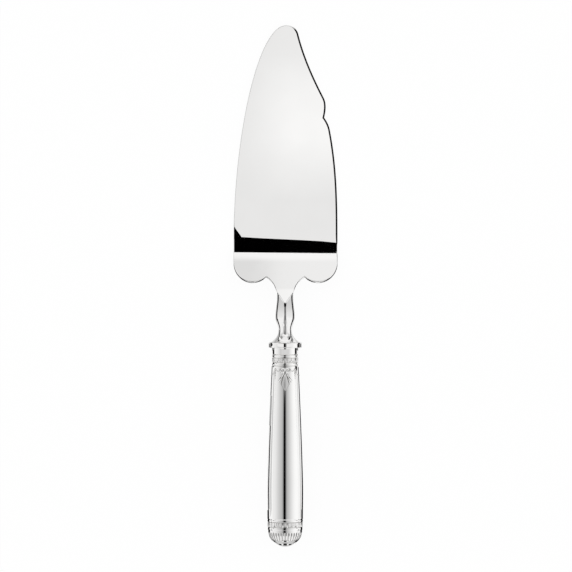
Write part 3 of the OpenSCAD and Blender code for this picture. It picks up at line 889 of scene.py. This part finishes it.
# Its dark recess tone colours tarnish and painted shade in the frieze and the gadroons' valleys.
pommel.data.materials.append(
    silver("pommel_polish", plate_bright, (0.2, 0.19, 0.18), haze=0.03, along=chased_hairs)
)
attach(pommel, "root")
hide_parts("pommel_cap")

# Button: a small boss on the end of the pommel, turned from nickel silver, plated and polished. Its
# stem is soldered in the dome's bore.
button_r, button_high, button_rows, button_steps = 4.7, 1.6, 20, 96
stem_r, stem_long = 1.2, 2.6
foot_r, foot_high = 5.15, 0.25
round_r = (button_r ** 2 + button_high ** 2) / (2 * button_high)
round_turn = math.asin(button_r / round_r)
round_turns = [round_turn * (1 - i / button_rows) for i in range(button_rows)]
button_end = seat_s + foot_high + button_high
button = turn(
    "pommel_boss",
    [(0, seat_s - stem_long), (stem_r, seat_s - stem_long), (stem_r, seat_s), (foot_r, seat_s)]
    + [(round_r * math.sin(a), button_end - round_r * (1 - math.cos(a))) for a in round_turns]
    + [(0, button_end)],
    steps=button_steps,
)
close_up(button)
put_in_place(button, on_axis, crease=40)
button.data.materials.append(
    silver("boss_polish", plate_bright, (0.76, 0.745, 0.72), haze=0.03, along=chased_hairs)
)
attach(button, "root")
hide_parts("pommel_button")

# Filling: pitch and chalk cement, cast in the shells round the tang. It is out of sight, so its solid
# stays as the source has it and only gets a matt, gritty material.
cement_dark, cement_pale = (0.5, 0.46, 0.39, 1), (0.66, 0.62, 0.54, 1)
cement = bpy.data.materials.new("cast_cement")
cement.use_nodes = True
start = Wire(cement.node_tree)
grit = start.node(
    "ShaderNodeTexNoise", {},
    {"Vector": start.node("ShaderNodeTexCoord", out="Object"), "Scale": 900.0, "Detail": 6.0},
)
cement_tone = start.node(
    "ShaderNodeMix", {"data_type": "RGBA"},
    {0: grit.between(0.3, 0.7), 6: cement_dark, 7: cement_pale}, out=2,
)
cement_shader = cement.node_tree.nodes["Principled BSDF"]
cement.node_tree.links.new(cement_tone.socket, cement_shader.inputs["Base Color"])
cement_shader.inputs["Roughness"].default_value = 0.9
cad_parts["cement_core"].data.materials.clear()
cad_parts["cement_core"].data.materials.append(cement)

# Stage: a white table under a light tent. The tent is bright all round, with a dark slit over the handle
# and dark paper strips beside the server, which the polished silver shows as its dark lines. The strips
# lying on the table under the heel, lobes and neck and close along the handle and
# pommel are painted shade: they stand for the server's shadow on the table, as the metal mirrors it.
table_size, table_drop = 12.0, 0.0003
table_seen, table_mirrored = 0.93, 0.25
on_table, under_others, overhead = -0.15, -0.22, 40
sheet_high, sheet_over, sheet_from = 6.0, 0.3, 8.5
facet_fall = 0.3
slit_shift, slant_half = 3.5, 0.42
heel_edge, heel_slant, edge_soft = 35.6, 2.5, 0.1
camera_x, camera_y, camera_far = 0.00045, -0.0266, 4.0
focus_high, view_wide, sensor = 0.006, 0.30144, 36.0
bpy.ops.object.select_all(action="DESELECT")
bpy.ops.mesh.primitive_plane_add(size=table_size, location=(0, 0, -table_drop))
table = bpy.context.object
table.name = "white_table"
paper = bpy.data.materials.new("white_paper")
paper.use_nodes = True
tree = paper.node_tree
tree.nodes.clear()
start = Wire(tree)
path = start.node("ShaderNodeLightPath").socket.node
seen, glossy = (Wire(tree, path.outputs[name]) for name in ("Is Camera Ray", "Is Glossy Ray"))
matt = start.node("ShaderNodeBsdfDiffuse", {}, {"Color": (0.95, 0.95, 0.95, 1)})
glow = start.node("ShaderNodeEmission", {}, {"Color": (1, 1, 1, 1), "Strength": 1.0})
glow_share = table_seen * seen + table_mirrored * glossy
mixed = start.node("ShaderNodeMixShader", {}, {0: glow_share, 1: matt, 2: glow})
out = tree.nodes.new("ShaderNodeOutputMaterial")
tree.links.new(mixed.socket, out.inputs["Surface"])
table.data.materials.append(paper)


def card(name, tone, corners):
    """A strip that only the polished metal shows, from its corners in turn, in millimetres. Strips
    standing beside or hung above the server stand for paper flags; strips lying in the server's shadow are
    painted shade.
    """
    strip = draw_ring(name, [Vector(corner) * millimetre for corner in corners])
    bpy.ops.object.mode_set(mode="EDIT")
    bpy.ops.mesh.select_all(action="SELECT")
    bpy.ops.mesh.edge_face_add()
    bpy.ops.object.mode_set(mode="OBJECT")
    strip.visible_camera = strip.visible_diffuse = False
    strip.visible_shadow = strip.visible_transmission = False
    ink = bpy.data.materials.new(name)
    ink.use_nodes = True
    ink.node_tree.nodes.clear()
    start = Wire(ink.node_tree)
    colour = tone(start) if callable(tone) else (tone, tone, tone, 1)
    shade = start.node("ShaderNodeEmission", {}, {"Color": colour, "Strength": 1.0})
    out = ink.node_tree.nodes.new("ShaderNodeOutputMaterial")
    ink.node_tree.links.new(shade.socket, out.inputs["Surface"])
    strip.data.materials.append(ink)


def lying(left, right, low, high, level=on_table):
    """Corners of a level strip, low and high along the server's length."""
    return [(left, low, level), (right, low, level), (right, high, level), (left, high, level)]


def standing(x, low, high, foot, top):
    """Corners of an upright strip beside the server."""
    return [(x, low, foot), (x, high, foot), (x, high, top), (x, low, top)]


def lamp_glow(start):
    """Light on the sheet over the blade, which fades towards the heel, the tip and the plain side."""
    spot = start.node("ShaderNodeTexCoord", out="Object")
    split = start.node("ShaderNodeSeparateXYZ", {}, {0: spot}).socket.node
    side, along = (Wire(start.tree, split.outputs[i]) for i in range(2))
    glow = start.node(
        "ShaderNodeValToRGB",
        {"stops": [(0, 0.03), (0.16, 0), (0.23, 0.25), (0.37, 0.72), (0.45, 0.96), (0.51, 0.98),
                   (0.64, 0.83), (0.71, 0.7), (0.83, 0.28), (1, 0.15)]},
        {0: along / 0.115},
    )
    return 0.84 + 0.15 * glow * side.between(-0.03, 0.008)


def facet_grey(most):
    """Grey beside the neck that gets darker towards the blade."""
    def tone(start):
        spot = start.node("ShaderNodeTexCoord", out="Object")
        split = start.node("ShaderNodeSeparateXYZ", {}, {0: spot}).socket.node
        return most - facet_fall * Wire(start.tree, split.outputs[1]).between(-0.046, -0.0315)
    return tone


sheet_edge = [
    (-23.1, -0.5), (-22.7, -0.53), (-12.1, -0.99), (-1.6, -1.34), (9.0, -1.71), (19.5, -2.15),
    (25.8, -2.61), (blade_half + sheet_over, -2.76),
]
sheet_edge += [(p.x + sheet_over, p.y) for p in notched_edge[:-1]]
sheet_edge += [(p.x, p.y + sheet_over) for p in crown if p.y > sheet_from]
sheet_corner = [(-29.0, 7.8), (-26.9, 4.82), (-24.8, 1.77)]
sheet_edge += sheet_corner
corner_edge = [(-34, -1.2), (-23.1, -1.2), (-23.1, -0.5)] + sheet_corner[::-1] + [(-34, 15)]
card("light_sheet", lamp_glow, [(x, y, sheet_high) for x, y in sheet_edge])
card("corner_card", 0.0, [(x, y, sheet_high) for x, y in corner_edge])
card("edge_card", 0.0, standing(75, -20, 170, 2, 30))
# Painted shade: the heel strip lies under the heel and the flare strip under the neck, where the table is
# in the server's shadow.
card("heel_card", 0.02, lying(-14, 14, -40, -28))
card("flare_card", 0.7, lying(-14, 14, -54.5, -40))
for (
    hand, side, (flank, flank_near), (bar_near, bar_far), (line_near, line_far, line_end),
    (line_foot, line_top), end_near, (grey, grey_near, grey_far), facet_most,
) in (
    ("left", -1, (0.45, 14), (38, 110), (17, 46, -68.6), (3.4, 10.9), 11, (0.6, 43, 105), 0.93),
    ("right", 1, (0.52, 20), (43, 260), (28, 170, -70.5), (4.4, 12.2), 6, (0.68, 29, 45), 0.95),
):
    # Painted shade: the lobe strips lie in the shadow under and beside the blade's lobes.
    card("lobe_card_" + hand, 0.0, lying(side * 24, side * 70, -28, -8))
    card("under_lobe_card_" + hand, 0.0, lying(side * 16, side * 30, -31, -25.5, 4))
    card("flank_card_" + hand, flank, lying(side * flank_near, side * 60, -50, -28))
    card("neck_card_" + hand, 0.0, standing(side * 30, -57, -28, line_foot, line_top))
    card("waist_card_" + hand, 0.0, standing(side * 18, -57, -45, 7.2, 13.4))
    card("facet_card_" + hand, facet_grey(facet_most), standing(side * 30, -57, -26, line_top, 45))
    card("collar_card_" + hand, 0.22, lying(side * 6, side * bar_near, -60.8, -56.8))
    card("bar_card_" + hand, 0.0, lying(side * bar_near, side * bar_far, -60.8, -56.8))
    card("ferrule_card_" + hand, 0.0, lying(side * line_near, side * line_far, line_end, -60.8))
    card("grey_card_" + hand, grey, lying(side * grey_near, side * grey_far, -150, -70.2))
    # Painted shade: the end and pommel strips reach under the pommel, into its shadow on the table.
    card("end_card_" + hand, 0.0, lying(side * end_near, side * 25, -152, -145))
    card("pommel_card_" + hand, 0.0, lying(side * end_near, side * 26, -165, -152))
    card("dome_card_" + hand, 0.0, lying(side * 9.5, side * 120, -173, -165))
    card("dot_card_" + hand, 0.0, lying(side * 5.2, side * 9.5, -181, -171))
    card("dome_sheet_" + hand, 0.6, lying(side * 10.5, side * 34, -190, -173))
    card("rim_sheet_" + hand, 0.9, lying(side * 4.2, side * 34, -61.3, -57.2, overhead))
# Painted shade: the mouth, swell and handle strips lie along and under the handle's sides, in its shadow
# on the table.
card("mouth_card_left", 0.12, lying(-20, -8, -84, -68.6))
card("swell_card_left", 0.4, lying(-30, -9, -100, -84))
card("handle_card_left", 0.04, lying(-29, -18, -145, -100))
handle_edge = [(6, -145), (22, -145), (18, -69.2), (6, -69.2)]
card("handle_card_right", 0.0, [(x, y, on_table) for x, y in handle_edge])
post_edge = [(-12, -262), (-150, -1400), (150, -1400), (12, -262)]
card("post_card", 0.0, [(x, y, on_table) for x, y in post_edge])
card("seat_card", 0.66, lying(-16, 16, -178, -166, under_others))
card("dot_card", 0.0, lying(-4, 4, -200, -177))
card("dome_sheet", 0.6, lying(-34, 34, -262, -190, under_others))
card("band_card", 0.69, lying(-16.4, 16.4, -64.1, -61.4, overhead))

world = bpy.context.scene.world or bpy.data.worlds.new("tent")
bpy.context.scene.world = world
world.use_nodes = True
tree = world.node_tree
tree.nodes.clear()
start = Wire(tree)
way = start.node("ShaderNodeTexCoord", out="Generated")
split = start.node("ShaderNodeSeparateXYZ", {}, {0: way}).socket.node
east, north, up = (Wire(tree, split.outputs[i]) for i in range(3))
# The tent's angles are in degrees from straight up: ahead towards the tip, aside to the notched edge.
degree = 180 / math.pi
ahead = start.math("ARCTAN2", north, up) * degree
aside = start.math("ARCTAN2", east, up) * degree
across = start.math("ABSOLUTE", aside + slit_shift)
slant = start.node("ShaderNodeClamp", {}, {0: aside, 1: -slant_half, 2: slant_half})
slit = start.node(
    "ShaderNodeValToRGB",
    {"stops": [(0, 0), (0.06, 0), (0.08, 0.15), (0.15, 0.42), (0.222, 0.53), (0.3, 0.59),
               (0.378, 0.655), (0.456, 0.72), (0.533, 0.79), (0.622, 0.86), (0.711, 0.92),
               (0.8, 0.96), (1, 0.98)]},
    {0: across / 90},
)
behind = 1 - ahead.between(-42, -28)
rear = 1 - ahead.between(-86, -70)
off_rear = start.math("ABSOLUTE", start.math("ARCTAN2", east, 0 - north) * degree)
post = 1 - off_rear.between(6.5, 8.5)
rear_side = off_rear.between(28, 45) * (1 - off_rear.between(55, 70))
sided = slit * (1 - 0.09 * (0 - aside).between(10, 50) + 0.04 * aside.between(10, 40))
lifted = 0.2 * ahead.between(0.5, 0.75) * (1 - ahead.between(2.6, 3.2))
lit_rear = start.math("MAXIMUM", start.math("MAXIMUM", sided, lifted), 0.85 * behind)
handle_side = lit_rear * (1 - rear * (post + 0.25 * rear_side))
roof = start.node(
    "ShaderNodeValToRGB",
    {"stops": [(0, 0.9), (0.383, 0.96), (0.52, 0.965), (0.6, 0.9), (0.628, 0.885), (0.639, 0.96),
               (0.655, 0.965), (0.69, 0.66), (0.76, 0.4), (1, 0.3)]},
    {0: ahead / 90},
)
off_front = start.math("ABSOLUTE", start.math("ARCTAN2", east, north) * degree)
low_front = ahead.between(57, 63) * (1 - off_front.between(14, 34))
plain_roof = roof * (1 - 0.14 * ahead.between(38, 56) * (0 - aside).between(0.05, 0.4))
blade_side = start.math("MAXIMUM", plain_roof, 0.9 * low_front)
over_heel = (ahead - heel_edge - heel_slant * slant).between(-edge_soft, edge_soft)
tent = start.node(
    "ShaderNodeMix", {"data_type": "RGBA"}, {0: over_heel, 6: handle_side, 7: blade_side}, out=2
)
path = start.node("ShaderNodeLightPath").socket.node
mirrored = Wire(tree, path.outputs["Is Glossy Ray"])
light = start.node(
    "ShaderNodeMix", {"data_type": "RGBA"}, {0: mirrored, 6: (1, 1, 1, 1), 7: tent}, out=2
)
sky = start.node("ShaderNodeBackground", {}, {"Color": light, "Strength": 1.0})
out = tree.nodes.new("ShaderNodeOutputWorld")
tree.links.new(sky.socket, out.inputs["Surface"])

bpy.ops.object.camera_add(location=(camera_x, camera_y, camera_far), rotation=(0, 0, 0))
camera = bpy.context.object
camera.name = "copy_stand"
camera.data.sensor_width = sensor
camera.data.lens = sensor * (camera_far - focus_high) / view_wide
camera.data.clip_end = 20.0
bpy.context.scene.camera = camera
bpy.context.scene.view_settings.view_transform = "Standard"
